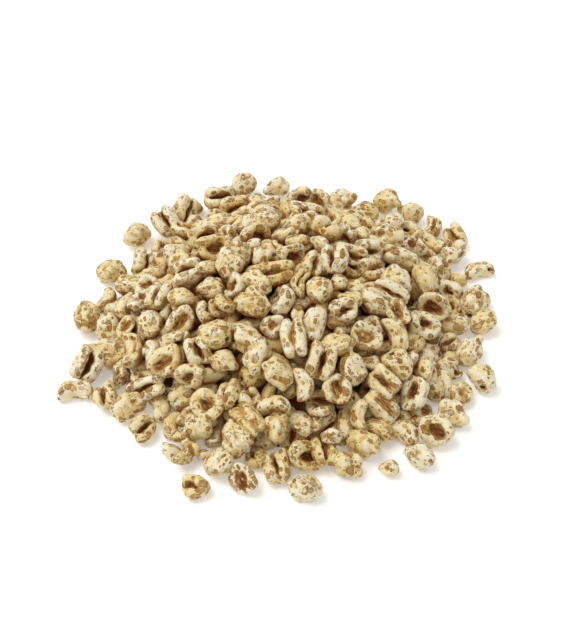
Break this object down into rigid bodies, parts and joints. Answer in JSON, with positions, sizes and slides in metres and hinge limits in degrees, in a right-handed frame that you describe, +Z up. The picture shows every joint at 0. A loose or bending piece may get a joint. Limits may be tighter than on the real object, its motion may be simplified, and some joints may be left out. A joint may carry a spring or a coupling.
{
  "type": "heap of puffed spelt",
  "caption": "Low round heap of puffed spelt kernels, with a few lying loose round its rim.",
  "frame": {"origin": "on the surface it lies on, under the middle of the heap with its loose kernels", "axes": "+Z up, and the side seen in the picture faces -Y"},
  "size_m": [0.137, 0.1382, 0.0316],
  "materials": {
    "puffed_kernel": "matte, with tan flakes of bran"
  },
  "bodies": {
    "root": {"heap": "puffed_kernel", "loose_kernel_1": "puffed_kernel", "loose_kernel_2": "puffed_kernel", "loose_kernel_3": "puffed_kernel", "loose_kernel_4": "puffed_kernel", "loose_kernel_5": "puffed_kernel", "loose_kernel_6": "puffed_kernel", "loose_kernel_7": "puffed_kernel", "loose_kernel_8": "puffed_kernel", "loose_kernel_9": "puffed_kernel"}
  },
  "joints": []
}
